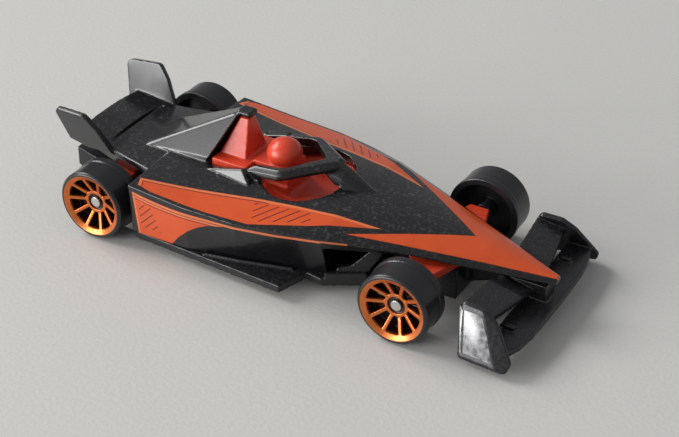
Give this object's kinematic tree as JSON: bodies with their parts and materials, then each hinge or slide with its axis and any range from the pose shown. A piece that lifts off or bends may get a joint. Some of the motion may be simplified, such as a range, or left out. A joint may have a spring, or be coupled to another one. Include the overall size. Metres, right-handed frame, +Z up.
{
  "type": "die-cast toy open-wheel racing car",
  "caption": "Pocket-size die-cast toy single-seater: black metal body with halo and fins on a plastic base, orange insert, free-rolling spoked wheels on wire axles.",
  "frame": {"origin": "on the floor below the middle of the overall length and width", "axes": "+X towards the nose, +Y towards the car's left, +Z up"},
  "size_m": [0.0739, 0.0314, 0.0177],
  "materials": {
    "body_paint": "gloss black paint with orange print",
    "base_plastic": "black moulded plastic",
    "insert_plastic": "orange-red moulded plastic",
    "axle_steel": "bright wire",
    "wheel_plastic": "black moulded plastic with orange stamped spokes"
  },
  "bodies": {
    "car": {"body": "body_paint", "base": "base_plastic", "insert": "insert_plastic", "axle_front": "axle_steel", "axle_rear": "axle_steel"},
    "wheel_front_left": {"wheel_front_left": "wheel_plastic"},
    "wheel_front_right": {"wheel_front_right": "wheel_plastic"},
    "wheel_rear_left": {"wheel_rear_left": "wheel_plastic"},
    "wheel_rear_right": {"wheel_rear_right": "wheel_plastic"}
  },
  "joints": [
    {"name": "wheel_front_left_roll", "type": "hinge", "parent": "car", "child": "wheel_front_left", "pos_m": [0.02075, 0.0133, 0.0052], "axis": [0, 1, 0], "continuous": true},
    {"name": "wheel_front_right_roll", "type": "hinge", "parent": "car", "child": "wheel_front_right", "pos_m": [0.02075, -0.0133, 0.0052], "axis": [0, 1, 0], "continuous": true},
    {"name": "wheel_rear_left_roll", "type": "hinge", "parent": "car", "child": "wheel_rear_left", "pos_m": [-0.02625, 0.0133, 0.0052], "axis": [0, 1, 0], "continuous": true},
    {"name": "wheel_rear_right_roll", "type": "hinge", "parent": "car", "child": "wheel_rear_right", "pos_m": [-0.02625, -0.0133, 0.0052], "axis": [0, 1, 0], "continuous": true}
  ]
}
